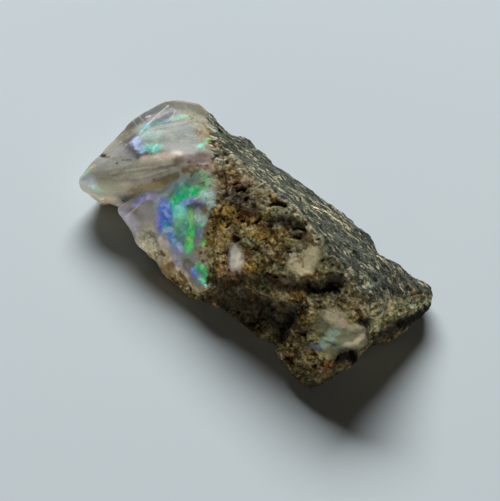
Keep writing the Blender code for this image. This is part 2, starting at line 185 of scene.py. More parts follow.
# Brush strokes of the play of colour, laid over the body.
OPAL_FIRE = {
    "violet-white": (LAVENDER, 9, 0.9, [(135, 140), (138, 145), (143, 149)]),
    "blue-white edge": (SKY, 5, 0.8, [(135, 139), (137, 146), (142, 150)]),
    "mint": (MINT, 9, 0.9, [(147, 147), (157, 148)]),
    "mint haze": (PALE_MINT, 14, 0.4, [(146, 136), (156, 134)]),
    "teal streak": (CYAN, 3.5, 0.6, [(141, 132), (145, 127), (149, 123)]),
    # Painted highlight: a glint along the streak's edge.
    "painted glint of the streak": (WHITE, 1.6, 0.35, [(148, 125), (154, 118), (160, 112), (168, 106)]),
    "second streak": (WHITE, 1.6, 0.3, [(171, 119), (175, 111)]),
    "pink fleck": (PINK, 3, 0.8, [(147, 117), (150, 116)]),
    "teal at the top": (TEAL, 6, 0.7, [(144, 129), (152, 124), (168, 121)]),
    "green at the top": (GREEN, 6, 0.35, [(174, 119), (184, 116)]),
    "green on the right": (GREEN, 5, 0.6, [(200, 146), (208, 139)]),
    "teal on the right": (CYAN, 4, 0.5, [(198, 147), (205, 143)]),
    "yellow specks": (GOLD, 2.5, 0.5, [(122, 135)]),
    "yellow specks, lower": (GOLD, 2.5, 0.45, [(121, 142)]),
    "yellow specks, right": (GOLD, 2.5, 0.45, [(126, 145)]),
    "green edge of the tip": (LIME, 4, 0.3, [(84, 175), (92, 167)]),
    "orange glint": (ORANGE, 3.5, 0.9, [(94, 166)]),
    "green of the tip": (GREEN, 6, 0.25, [(94, 188), (100, 190)]),
    "blue of the tip": (SKY, 13, 0.35, [(84, 180), (92, 184)]),
    "violet streak": (VIOLET, 5, 0.85, [(134, 205), (144, 198), (150, 195)]),
    "violet streak, right": (LAVENDER, 6, 0.8, [(150, 196), (157, 199)]),
    "violet of the lip": (LAVENDER, 13, 0.35, [(120, 206), (126, 216), (134, 226)]),
    "sea under the fire": (TEAL, 34, 0.75, [(176, 208), (184, 222), (188, 234)]),
    "emerald, left": (EMERALD, 8, 0.95, [(174, 206), (176, 200), (180, 196)]),
    "emerald": (EMERALD, 10, 0.95, [(182, 196), (192, 192), (201, 190)]),
    "pale green in the emerald": (GREEN, 5, 0.8, [(181, 190), (186, 188)]),
    "bright line by the emerald": (LIME, 2.2, 0.9, [(194, 199), (202, 196)]),
    "teal above": (TEAL, 10, 0.8, [(178, 188), (188, 182), (198, 176)]),
    "green-grey at the top right": (GREY_GREEN, 15, 0.6, [(196, 176), (208, 184)]),
    "green streak at the top right": (GREEN, 5, 0.3, [(202, 174), (208, 180), (206, 188)]),
    "violet, high": (VIOLET, 7, 0.85, [(163, 203), (164, 210)]),
    "violet, left": (VIOLET, 5, 0.7, [(158, 212), (159, 226)]),
    "royal blue": (ROYAL, 12, 1.0, [(165, 208), (167, 216), (166, 227)]),
    "bright blue": (SKY, 3.5, 0.9, [(166, 215), (168, 216)]),
    "deep teal by the blue": (EMERALD, 4, 0.4, [(165, 223), (167, 226)]),
    "pale sky": (SKY, 8, 0.9, [(167, 231), (171, 232)]),
    "cornflower": (CORNFLOWER, 8, 0.95, [(170, 236), (173, 242)]),
    "blue by the emerald": (CORNFLOWER, 5, 0.95, [(180, 206), (186, 201)]),
    "violet arc": (VIOLET, 5, 0.7, [(186, 201), (194, 200), (202, 202)]),
    "pale teal of the middle": (MINT, 9, 0.6, [(177, 219), (180, 232)]),
    "cyan": (CYAN, 8, 0.9, [(176, 214), (182, 209)]),
    "pale green": (MINT, 12, 0.8, [(182, 216), (188, 220)]),
    "yellow-green edge": (LIME, 5, 0.6, [(191, 212), (192, 224)]),
    "green strip, left": (CYAN, 5, 0.8, [(185, 229), (186, 234)]),
    "green strip": (GREEN, 9, 0.95, [(191, 227), (190, 236), (189, 246)]),
    "lime core": (LIME, 5, 0.95, [(190, 237), (191, 241)]),
    "dark green bar": (EMERALD, 3, 0.7, [(196, 225), (203, 225)]),
    "dark teal": (ROYAL, 6, 0.35, [(199, 230), (199, 235)]),
    "pale block": (PALE_MINT, 10, 0.95, [(197, 219), (204, 219)]),
    "pink-violet": (PINK, 8, 0.6, [(161, 240), (165, 244)]),
    "pale blue below": (SKY, 5, 0.8, [(178, 245), (181, 248)]),
    "violet below": (VIOLET, 5, 0.8, [(176, 250), (181, 251)]),
    "mint blob": (PALE_MINT, 9, 0.95, [(202, 195), (209, 196), (212, 205)]),
    "mint triangle": (PALE_MINT, 9, 0.9, [(211, 238), (212, 243)]),
    "green edge of the triangle": (GREEN, 4.5, 0.9, [(203, 245), (208, 239)]),
    "blade, teal": (EMERALD, 9, 0.85, [(199, 267), (205, 276)]),
    "blade, blue": (ROYAL, 8, 0.9, [(194, 271), (201, 279)]),
    "blade, green": (GREEN, 5, 0.95, [(200, 279), (206, 281), (208, 277)]),
    "blade, tip": (CYAN, 4.5, 0.9, [(206, 284), (210, 287)]),
    "violet grains": (LAVENDER, 8, 0.4, [(174, 258), (178, 264)]),
}

# Brush strokes on the rock.
ROCK_BODY = {
    "ochre by the opal": (OCHRE, 30, 0.7, [(222, 204), (234, 226), (248, 236)]),
    "dark brown above": (DEEP_BROWN, 24, 0.8, [(228, 186), (242, 198), (246, 206)]),
    "brown mixed in": (RUST, 18, 0.6, [(220, 178), (236, 184), (254, 196), (246, 214)]),
    "pale crumbs of the ridge": (STONE, 11, 0.7, [(232, 158), (258, 186), (284, 200)]),
    "rust on the ridge": (RUST, 8, 0.7, [(262, 190), (280, 198)]),
    "ochre of the middle": (OCHRE, 18, 0.4, [(258, 230), (272, 240)]),
    "grey of the middle": (GREY_GREEN, 22, 0.85, [(290, 212), (308, 218), (326, 240), (340, 262)]),
    # Painted shade in the holes.
    "dark holes": (DARK_BROWN, 12, 0.9, [(272, 222), (286, 220), (298, 228)]),
    "grey below": (GREY_GREEN, 14, 0.6, [(240, 242), (262, 250), (276, 268)]),
    "pale crumbs below": (PALE_CREAM, 8, 0.7, [(264, 253), (270, 252)]),
    "pale crumbs, lower": (GREY_GREEN, 8, 0.8, [(276, 268), (288, 276)]),
    "cream patch": (PALE_CREAM, 18, 1.0, [(294, 265), (306, 266), (314, 255)]),
    "rust in the cream": (RUST, 2.5, 0.6, [(298, 258), (303, 261), (305, 266)]),
    "rust in the cream, right": (RUST, 2.5, 0.5, [(314, 266), (319, 262)]),
    "cream patch, pink part": (TAN, 9, 0.7, [(292, 253), (304, 248)]),
    "grey beside the cream": (SLATE, 14, 0.8, [(328, 262), (332, 276)]),
    "rust under the cream": (RUST, 5, 0.9, [(306, 278), (320, 273)]),
    "rust stripe": (RUST, 5, 0.7, [(292, 300), (308, 296), (324, 294)]),
    "olive blades below": (GREY_GREEN, 5, 0.8, [(248, 288), (262, 296), (280, 302)]),
    "olive blades below, middle": (GREY_GREEN, 5, 0.8, [(268, 312), (282, 318), (292, 328)]),
    "olive blades below, left": (GREY_GREEN, 5, 0.7, [(228, 306), (240, 316), (254, 322)]),
    "olive of the end": (OLIVE_BROWN, 20, 0.8, [(306, 302), (330, 300), (350, 306)]),
    "pale stripe": (PALE_CREAM, 4, 0.6, [(302, 304), (320, 303), (342, 300)]),
    "pale stripe, lower": (PALE_CREAM, 4, 0.5, [(308, 311), (326, 310), (346, 308)]),
    "nodule": (WHITE, 17, 1.0, [(236, 253), (236, 263)]),
    "nodule, blue edge": (CORNFLOWER, 4, 0.8, [(229, 253), (230, 261)]),
    "nodule, pink foot": (PINK, 9, 0.7, [(232, 271), (239, 273)]),
    "tan in the scoop": (PEACH, 9, 0.8, [(238, 290), (243, 298)]),
    "brown foot": (OLIVE_BROWN, 26, 0.8, [(272, 340), (288, 354), (304, 374)]),
    "dark stripe of the foot": (DEEP_BROWN, 5, 0.7, [(282, 352), (300, 350), (316, 352)]),
    "dark stripe of the foot, lower": (DARK_BROWN, 5, 0.7, [(292, 366), (308, 366), (324, 366)]),
    "pale stripe of the foot": (CREAM, 3.5, 0.5, [(290, 358), (306, 358), (318, 360)]),
    "tan near the foot": (STONE, 9, 0.5, [(272, 344), (280, 356)]),
    "olive stripe of the foot": (OCHRE, 4, 0.6, [(286, 342), (300, 336)]),
    "end grains": (GREY_GREEN, 54, 0.9, [(352, 272), (376, 294), (386, 312)]),
    "cream blade of the end": (CREAM, 4, 0.6, [(338, 268), (350, 278), (356, 290)]),
    "cream blade of the end, middle": (CREAM, 3, 0.6, [(354, 270), (366, 282), (374, 292)]),
    "cream blade of the end, right": (PALE_CREAM, 3.5, 0.5, [(374, 296), (384, 304), (390, 314)]),
    "cream blade of the end, low": (CREAM, 4, 0.5, [(346, 296), (358, 304), (368, 308)]),
    "pale grains of the end": (TAN, 30, 0.35, [(366, 292), (388, 300)]),
    "grey under the end": (SLATE, 16, 0.8, [(352, 352), (372, 340), (392, 326)]),
    "milky base of the pale patch": (MISTY, 30, 0.9, [(330, 342), (328, 324), (342, 334), (354, 338)]),
    "pale patch": (PALE_CREAM, 13, 0.95, [(330, 313), (340, 321)]),
    "pale patch, pink": (PINK, 6, 0.5, [(336, 318), (343, 325)]),
    "pale patch, right": (MILK, 7, 0.3, [(350, 329), (357, 327), (364, 326)]),
    "pale patch, edge": (PEACH, 6, 0.55, [(346, 346), (356, 342), (363, 335)]),
    "pale patch, white": (MILK, 4, 0.5, [(348, 327), (358, 324)]),
    "pale patch, left": (PALE_MINT, 12, 0.6, [(322, 344), (328, 340), (334, 334)]),
    "pale patch, blue": (CORNFLOWER, 6, 0.4, [(312, 346), (318, 348)]),
    "green crumbs of the pale patch": (TEAL, 5, 0.5, [(334, 352), (342, 346)]),
    "teal crumbs": (TEAL, 6, 0.6, [(250, 239), (252, 241)]),
    "teal crumbs, middle": (TEAL, 5, 0.6, [(273, 243), (275, 244)]),
    "teal crumbs, right": (TEAL, 6, 0.5, [(294, 219), (297, 222)]),
    "teal crumbs, lower": (TEAL, 5, 0.5, [(332, 290), (336, 291)]),
    "pale patch, olive": (OLIVE_BROWN, 14, 0.7, [(316, 360), (330, 356)]),
    "rust below the patch": (RUST, 10, 0.9, [(328, 367), (342, 361)]),
    "pale lower lip": (GREY_GREEN, 6, 0.7, [(332, 376), (340, 372), (346, 369)]),
    "brown lower tip": (RUST, 8, 0.6, [(306, 386), (314, 386)]),
    "pale lens": (CREAM, 7, 0.8, [(312, 206), (326, 212), (342, 224)]),
    "black blob on the far edge": (BLACK, 7, 1.0, [(245, 139), (249, 144)]),
    # Painted shade in the crack.
    "crack by the crown": (BLACK, 4, 1.0, [(216, 128), (222, 131)]),
    "grey of the far tip": (GREY_GREEN, 26, 0.85, [(402, 308), (418, 308), (428, 302)]),
    "pale grains of the far tip": (PALE_MINT, 8, 0.5, [(410, 304), (428, 303)]),
    # Painted shade in the pit.
    "black pit": (BLACK, 13, 1.0, [(344, 359), (357, 358)]),
}
# Painted shade on the rock: the zones that lie in shade, such as the scoop, the undersides and lower lip below the
# end, and the pits, slits and holes, darkened in its colour: how much of the colour is taken away, width in
# pixels, line of pixels.
ROCK_PAINTED_SHADE = {
    "below the cream": (0.85, 16, [(240, 278), (272, 284), (304, 287), (340, 283)]),
    "scoop": (0.9, 52, [(232, 296), (256, 308), (284, 322)]),
    "left of the pale patch": (0.6, 18, [(290, 318), (304, 330), (306, 344)]),
    "holes above": (0.6, 16, [(226, 196), (242, 200), (250, 208)]),
    "holes of the ridge": (0.7, 12, [(272, 220), (286, 220), (298, 228)]),
    "black pit": (1.0, 24, [(344, 359), (358, 356)]),
    "black slit": (0.9, 7, [(361, 320), (372, 323)]),
    "under the end": (0.9, 20, [(426, 314), (400, 326), (378, 340), (360, 360)]),
    "lower lip": (0.8, 18, [(312, 388), (326, 384), (342, 376), (354, 367)]),
    "end": (0.3, 10, [(372, 318), (386, 306), (394, 292)]),
    "foot, left": (0.75, 16, [(206, 300), (232, 320), (262, 344), (284, 368)]),
    "under the far tip": (0.85, 12, [(402, 324), (416, 318), (430, 310)]),
    "by the crown": (0.5, 8, [(218, 128), (232, 140), (246, 146)]),
    "beside the cream": (0.5, 12, [(334, 262), (338, 276)]),
    "low tip": (0.75, 34, [(300, 376), (314, 382), (334, 376)]),
}
FAR_MARKS = ("pale lens", "black blob on the far edge", "crack by the crown", "pale grains of the far tip")
CALM = ("cream patch", "nodule", "milky base of the pale patch", "pale patch, left", "pale patch, blue")
LAYERED = ("peach band, lower", "layers below the notch", "dark layer, lower", "brown wedge", "sugary face, right")

# Carved lines: depth in millimetres, width in pixels, line of pixels. A negative depth stands out.
CARVED = {
    "white line of the lip": (-0.07, 2.6, [(125, 217), (131, 213), (136, 208), (142, 201), (150, 198)]),
    "white crease": (-0.12, 7.0, [(156, 206), (162, 197), (174, 187), (188, 177)]),
    "edge of the sugary plate": (0.10, 3.0, [(136, 140), (144, 131), (152, 126), (168, 123), (186, 119)]),
    "streak": (-0.07, 2.5, [(141, 132), (150, 122), (168, 106)]),
    "edge under the peach band": (0.03, 3.0, [(138, 171), (152, 168), (176, 166)]),
    "notch spot": (0.12, 3.5, [(101, 155), (105, 156)]),
    "blade": (-0.25, 6.0, [(188, 264), (199, 274), (210, 286)]),
    "hollow right of the blade": (0.3, 7.0, [(212, 266), (214, 286)]),
    "bowl": (0.2, 9.0, [(190, 204), (202, 205)]),
    "nodule": (-0.3, 13.0, [(234, 252), (236, 264)]),
    "hollow under the nodule": (0.5, 9.0, [(226, 280), (236, 282)]),
    "mint blob": (-0.12, 9.0, [(204, 194), (211, 196), (214, 204)]),
    "pale block": (-0.10, 8.0, [(197, 219), (204, 219)]),
    "cream patch": (-0.15, 20.0, [(296, 262), (314, 254)]),
    "dark holes": (0.2, 9.0, [(272, 222), (286, 220), (298, 228)]),
    "black pit": (1.2, 11.0, [(344, 359), (359, 355)]),
    "black slit": (0.5, 6.0, [(361, 320), (372, 323)]),
    "black hollow below the cream": (0.4, 10.0, [(290, 285), (312, 286), (336, 284)]),
    "crack by the crown": (0.4, 4.0, [(215, 127), (223, 132)]),
    "crack at the far tip": (0.15, 3.0, [(406, 297), (418, 293), (430, 294)]),
}


def linear(colour):
    """A colour as seen on a screen, 0 to 255, in the linear values that shaders take."""
    c = np.array(colour, float) / 255
    return np.where(c <= 0.04045, c / 12.92, ((c + 0.055) / 1.055) ** 2.4)


def hashed(cell, salt):
    """A number from 0 to 1 for each cell of a lattice, the same at each run."""
    mixed = cell.astype(np.int64) * LATTICE
    word = (mixed[..., 0] ^ mixed[..., 1] ^ mixed[..., 2] ^ (salt * SALT)) & WORD
    word = ((word ^ (word >> 13)) * STIR) & WORD
    word = ((word ^ (word >> 15)) * STIR) & WORD
    return (word ^ (word >> 16)) / WORD


def hashed_vectors(cell, salt):
    return np.stack([hashed(cell, salt + 7 * i) for i in range(3)], 1)


def soft_noise(points, size, salt):
    """Smooth noise from -1 to 1, with waves about this wide."""
    place = points / size
    base = np.floor(place).astype(np.int64)
    t = place - base
    t = t * t * (3 - 2 * t)
    total = np.zeros(len(points))
    for corner in CORNERS:
        total += np.prod(np.where(corner, t, 1 - t), axis=1) * hashed(base + corner, salt)
    return 2 * total - 1


def rough_noise(points, size, salt, octaves=3):
    """Layers of smooth noise, each half as wide and half as strong, from about -1 to 1."""
    return sum(soft_noise(points, size / 2 ** i, salt + i) / 2 ** i for i in range(octaves)) / 1.5


def shaken(points, reach, size, salt):
    """The points, each moved by noise, so that what is cut by them gets ragged edges."""
    return points + reach * np.stack([rough_noise(points, size, salt + 5 * i) for i in range(3)], 1)


def ramp(value, low, high):
    """0 at the low end, 1 at the high end, and smooth between them."""
    t = np.clip((value - low) / (high - low), 0, 1)
    return t * t * (3 - 2 * t)


class Cells:
    """The irregular cells of about this size that the points fall in."""

    def __init__(self, points, size, salt, shake=0.35):
        place = shaken(points, shake * np.mean(size), np.mean(size), salt + 200) / size
        base = np.floor(place).astype(np.int64)
        self.salt = salt
        self.nearest = np.full(len(points), 9.0)
        self.following = np.full(len(points), 9.0)
        self.owner = np.zeros_like(base)
        self.offset = np.zeros_like(place)
        for step in AROUND:
            cell = base + step
            away = place - cell - hashed_vectors(cell, salt)
            distance = np.sqrt((away ** 2).sum(1))
            closer = distance < self.nearest
            self.following = np.where(closer, self.nearest, np.minimum(self.following, distance))
            self.nearest = np.where(closer, distance, self.nearest)
            self.owner[closer] = cell[closer]
            self.offset[closer] = away[closer]
        self.seed = points - self.offset * size

    def pick(self, which):
        """A random number of each cell, from 0 to 1."""
        return hashed(self.owner, self.salt + 60 + which)

    def broken(self, step=0.7, tilt=1.3, crevice=0.5):
        """Height of angular pieces: each with its own level and slope, and crevices between them."""
        slope = hashed_vectors(self.owner, self.salt + 90) - 0.5
        edge = 1 - ramp(self.following - self.nearest, 0.0, 0.28)
        return step * (self.pick(0) - 0.5) + tilt * (slope * self.offset).sum(1) - crevice * edge


class Skin:
    """The fine surface of one piece: its points and normals in millimetres, and what is painted on them."""

    def __init__(self, obj):
        self.obj = obj
        self.refresh()

    def refresh(self):
        self.points = self.read("vertices", "co") / MM
        self.measure()

    def read(self, kind, field):
        items = getattr(self.obj.data, kind)
        values = np.zeros(len(items) * 3, np.float32)
        items.foreach_get(field, values)
        return values.reshape(-1, 3).astype(float)

    def measure(self):
        """Writes the points to the mesh and reads its normals."""
        self.points[:, 2] = np.maximum(self.points[:, 2], 0.0)
        self.obj.data.vertices.foreach_set("co", (self.points * MM).astype(np.float32).ravel())
        self.obj.data.update()
        self.normals = self.read("vertices", "normal")

    def push(self, height):
        """Moves the points along their normals, less near the base, and never below it."""
        free = ramp(self.points[:, 2], 0.0, BASE_FADE)
        self.points += self.normals * (height * free)[:, None]
        self.measure()

    def tree(self):
        faces = [tuple(f.vertices) for f in self.obj.data.polygons]
        return BVHTree.FromPolygons([Vector(p) for p in self.points], faces)

    def keep(self, name, values):
        """Stores a number or a colour for each point, for the material to read."""
        if values.ndim == 1:
            layer = self.obj.data.attributes.new(name, "FLOAT", "POINT")
            layer.data.foreach_set("value", values.astype(np.float32))
        else:
            layer = self.obj.data.attributes.new(name, "FLOAT_COLOR", "POINT")
            rgba = np.concatenate([values, np.ones((len(values), 1))], 1)
            layer.data.foreach_set("color", rgba.astype(np.float32).ravel())


def apply_modifiers(obj):
    graph = bpy.context.evaluated_depsgraph_get()
    made = bpy.data.meshes.new_from_object(obj.evaluated_get(graph))
    obj.modifiers.clear()
    obj.data = made
    obj.data.shade_smooth()


def dense_copy(node, name, voxel, softening):
    """A fine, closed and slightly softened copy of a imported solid."""
    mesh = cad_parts[node].data.copy()
    mesh.name = name
    mesh.materials.clear()
    bm = bmesh.new()
    bm.from_mesh(mesh)
    bmesh.ops.remove_doubles(bm, verts=bm.verts, dist=WELD)
    bm.to_mesh(mesh)
    bm.free()
    obj = bpy.data.objects.new(name, mesh)
    bpy.context.scene.collection.objects.link(obj)
    skin = obj.modifiers.new("skin", "REMESH")
    skin.mode = "VOXEL"
    skin.voxel_size = voxel * MM
    soften = obj.modifiers.new("soften", "SMOOTH")
    soften.iterations = softening
    soften.factor = SOFTEN_FACTOR
    apply_modifiers(obj)
    return Skin(obj)


def even_out(skin, voxel):
    """Gives a stretched skin an even mesh again."""
    again = skin.obj.modifiers.new("skin", "REMESH")
    again.mode = "VOXEL"
    again.voxel_size = voxel * MM
    soften = skin.obj.modifiers.new("soften", "SMOOTH")
    soften.iterations = EVEN_PASSES
    soften.factor = SOFTEN_FACTOR
    apply_modifiers(skin.obj)
    skin.refresh()


def nearest_on(tree, points):
    """For each point the nearest point of a tree, and how far it is."""
    found = [tree.find_nearest(Vector(p)) for p in points]
    return np.array([f[0] for f in found]), np.array([f[3] for f in found])


def thin_hidden(skin, other, triangles):
    """Thins the faces that nobody sees, at the contact and the base, so that the seen ones can be fine."""
    target, away = nearest_on(other, skin.points)
    facing = ((target - skin.points) * skin.normals).sum(1) / np.maximum(away, WELD)
    contact = (away < HIDDEN_NEAR) & (facing > HIDDEN_FACING)
    base = (skin.points[:, 2] < HIDDEN_BASE) & (skin.normals[:, 2] < -HIDDEN_FACING)
    group = skin.obj.vertex_groups.new(name="hidden")
    group.add(np.nonzero(contact | base)[0].tolist(), 1.0, "REPLACE")
    thin = skin.obj.modifiers.new("thin", "DECIMATE")
    thin.vertex_group = "hidden"
    skin.obj.data.calc_loop_triangles()
    thin.ratio = min(1.0, triangles / len(skin.obj.data.loop_triangles))
    apply_modifiers(skin.obj)
    skin.obj.vertex_groups.clear()
    skin.refresh()


def reach_over_gap(opal, rock_tree):
    """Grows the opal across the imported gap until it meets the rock, as the real stone is one."""
    target, away = nearest_on(rock_tree, opal.points)
    share = 1 - ramp(away, REACH_FULL, REACH_END)
    toward = (target - opal.points) / np.maximum(away, WELD)[:, None]
    opal.points += toward * (share * (away + REACH_OVER))[:, None]
    opal.measure()


def pixel_ray(u, v):
    """The direction in which the camera sees this pixel of the photograph."""
    across = (u - IMAGE_WIDTH / 2) * PIXEL
    down = (v - IMAGE_HEIGHT / 2) * PIXEL
    return Vector(across * RIGHT - down * UP - CAMERA_DISTANCE * BACK).normalized()


def pin(u, v):
    """The point of the stone that this pixel shows, or the point nearest to the line of sight beside it."""
    ray = pixel_ray(u, v)
    hits = [tree.ray_cast(Vector(EYE), ray) for tree in trees]
    hits = [hit for hit in hits if hit[0] is not None]
    if not hits:
        beside = Vector(EYE) + ray * CAMERA_DISTANCE
        hits = [tree.find_nearest(beside) for tree in trees]
    return np.array(min(hits, key=lambda hit: hit[3])[0])


def pin_path(path):
    """Points of the stone along a line of pixels."""
    places = []
    for (u0, v0), (u1, v1) in zip(path, path[1:]):
        count = max(1, int(math.hypot(u1 - u0, v1 - v0) / PIN_STEP))
        places += [(u0 + (u1 - u0) * i / count, v0 + (v1 - v0) * i / count) for i in range(count)]
    places.append(path[-1])
    return np.array([pin(u, v) for u, v in places])


def distance_to(points, a, b):
    """How far the points are from the straight piece between two places."""
    line = b - a
    share = np.clip((points - a) @ line / max(line @ line, WELD), 0, 1)
    return np.sqrt(((points - a - share[:, None] * line) ** 2).sum(1))


def stroke(places, path, width, softness=1.0):
    """How much of a brush stroke along a line of pixels each place takes, from 0 to 1. Width in pixels."""
    pins = pin_path(path)
    radius = width / 2 * PIXEL
    reach = radius * (1 + softness)
    near = np.all((places > pins.min(0) - reach) & (places < pins.max(0) + reach), axis=1)
    mask = np.zeros(len(places))
    if near.any():
        ends = zip(pins, pins[1:] if len(pins) > 1 else pins)
        away = np.min([distance_to(places[near], a, b) for a, b in ends], axis=0)
        mask[near] = 1 - ramp(away, radius * (1 - softness * 0.5), radius * (1 + softness * 0.5))
    return mask


def strokes(places, table, names):
    """The strongest of several strokes of a table at each place."""
    return np.maximum.reduce([stroke(places, table[name][3], table[name][1]) for name in names])


def paint(base, colour, mask):
    """Lays a colour over another where the mask says."""
    return base * (1 - mask[:, None]) + linear(colour) * mask[:, None]


def carve(skin):
    """Presses the carved lines into the surface."""
    height = np.zeros(len(skin.points))
    for depth, width, path in CARVED.values():
        height -= depth * stroke(skin.points, path, width, softness=1.6)
    skin.push(height)


class RockGrain:
    """The rock's broken surface at some points: its height, the grains that give it its colours, and its downward
    faces and hollows, where shade is painted.
    """

    def __init__(self, points, normals):
        self.far = ramp(normals[:, 1] + 0.25 * rough_noise(points, 1.5, 15, 2), 0.1, 0.45)
        # How far each point faces down, for the painted shade of the undersides.
        self.under = ramp(-normals[:, 2], 0.0, 0.5)
        crumbs = Cells(points, CRUMB_SIZE, 3)
        bits = Cells(points, BIT_SIZE * np.array([1.5, 0.9, 0.9]), 4)
        round_grains = Cells(points, GRAIN_SIZE, 5)
        long_grains = Cells(points, GRAIN_SIZE * LONG_GRAIN, 7)
        slope = self.far > 0.5
        self.pick = lambda i: np.where(slope, long_grains.pick(i), round_grains.pick(i))
        self.seed = np.where(slope[:, None], long_grains.seed, round_grains.seed)
        self.crumb_pick = crumbs.pick
        self.bit_pick = bits.pick
        fine = np.where(slope, long_grains.broken(), round_grains.broken())
        coarse = (1 - 0.6 * self.far) * (CRUMB * crumbs.broken(0.9, 1.4, 0.2) + BIT * bits.broken(0.9, 1.3, 0.3))
        pit = ramp(rough_noise(points, PIT_SIZE, 9, 3) + 0.25 * soft_noise(points, PIT_ZONE, 8), 0.24, 0.6)
        pit *= 1 - 0.75 * self.far
        self.height = MASS * rough_noise(points, MASS_SIZE, 11, 4) + coarse + GRAIN * fine - PIT * pit
        # Pits and the low places between pieces, where the colours paint shade.
        self.hollow = np.clip(pit + ramp(-(coarse + GRAIN * fine), 0.06, 0.26), 0, 1)


def rock_colours(grain, points, calm):
    """Colour of the rock at some points: brown and ochre in front, grey and flecked on the far slope, with painted
    shade darkening its hollows, its undersides and the zones that lie in shade.
    """
    blocky = (0.6 * (1 - np.minimum(1, 4 * calm)))[:, None]
    places = shaken(blocky * grain.seed + (1 - blocky) * points, 0.35, 1.0, 90)
    tint = np.tile(linear(BROWN), (len(points), 1))
    tint = paint(tint, OLIVE_BROWN, ramp(rough_noise(points, 3.2, 74), -0.2, 0.3) * 0.8)
    tint = paint(tint, OCHRE, ramp(rough_noise(points, 2.6, 72), 0.1, 0.5) * 0.4)
    for colour, width, strength, path in ROCK_BODY.values():
        tint = paint(tint, colour, strength * stroke(places, path, width))
    lively = 1 - 0.9 * calm
    front = 1 - grain.far
    kind, bit, speckle = grain.crumb_pick(2), grain.bit_pick(2), grain.pick(1)
    tint = paint(tint, GREY_GREEN, lively * front * 0.5 * ramp(kind, 0.62, 0.76))
    tint = paint(tint, RUST, lively * front * 0.4 * ramp(bit, 0.16, 0.10))
    tint = paint(tint, DARK_BROWN, lively * front * 0.7 * ramp(np.abs(bit - 0.32), 0.11, 0.07))
    tint = paint(tint, STONE, lively * front * 0.6 * ramp(bit, 0.80, 0.87))
    tint = tint * (1 - front * (1 - ROCK_DEPTH))[:, None]
    tint = paint(tint, SLATE, grain.far * (1 - strokes(places, ROCK_BODY, FAR_MARKS)))
    tone = 0.8 * grain.pick(2) - 0.38 + 0.6 * (grain.bit_pick(3) - 0.5) + 0.4 * (grain.crumb_pick(3) - 0.5)
    tint = tint * (1 + lively * tone)[:, None]
    tint = paint(tint, DARK_BROWN, lively * front * 0.6 * ramp(speckle, 0.30, 0.20))
    tint = paint(tint, COAL, lively * grain.far * 0.75 * ramp(speckle, 0.28, 0.18))
    tint = paint(tint, CREAM, lively * (0.25 + 0.25 * grain.far) * ramp(speckle, 0.84, 0.90))
    tint = paint(tint, RUST, lively * front * 0.4 * ramp(np.abs(speckle - 0.5), 0.06, 0.03))
    # Painted shade: pits and low places between the grains are darkened.
    tint = paint(tint, DARK_BROWN, lively * 0.9 * grain.hollow)
    # Painted shade: the zones of the rock that lie in shade are darkened.
    for share, width, path in ROCK_PAINTED_SHADE.values():
        tint = tint * (1 - share * stroke(places, path, width, softness=1.4))[:, None]
    # Painted shade: faces that point down are darkened.
    return tint * (1 - 0.8 * grain.under)[:, None]


def drawn_out(points, start, end, length):
    """The points set closer along a line between two pixels, so that noise is drawn out along it."""
    along = pin(*end) - pin(*start)
    along /= np.linalg.norm(along)
    return points - (points @ along)[:, None] * along * (1 - 1 / length)


def opal_relief(p, sugary, layered):
    """Height of the opal's broken surface: plates and chips, small facets, and fine layers."""
    plates = Cells(p, PLATE_SIZE, 23)
    chips = Cells(p, CHIP_SIZE, 21)
    facets = Cells(p, FACET_SIZE, 25)
    drawn = drawn_out(p, (118, 172), (178, 158), STREAK_LENGTH)
    streak = np.tanh(STREAK_SHARPNESS * rough_noise(drawn, STREAK_SIZE, 27))
    return (PLATE * plates.broken(0.2, 0.9, 0.0) + CHIP * chips.broken(0.3, 1.2, 0.1)
            + FACET * facets.broken(0.5, 1.2, 0.2) * (0.5 + sugary) + STREAK * streak * (0.3 + layered)), streak


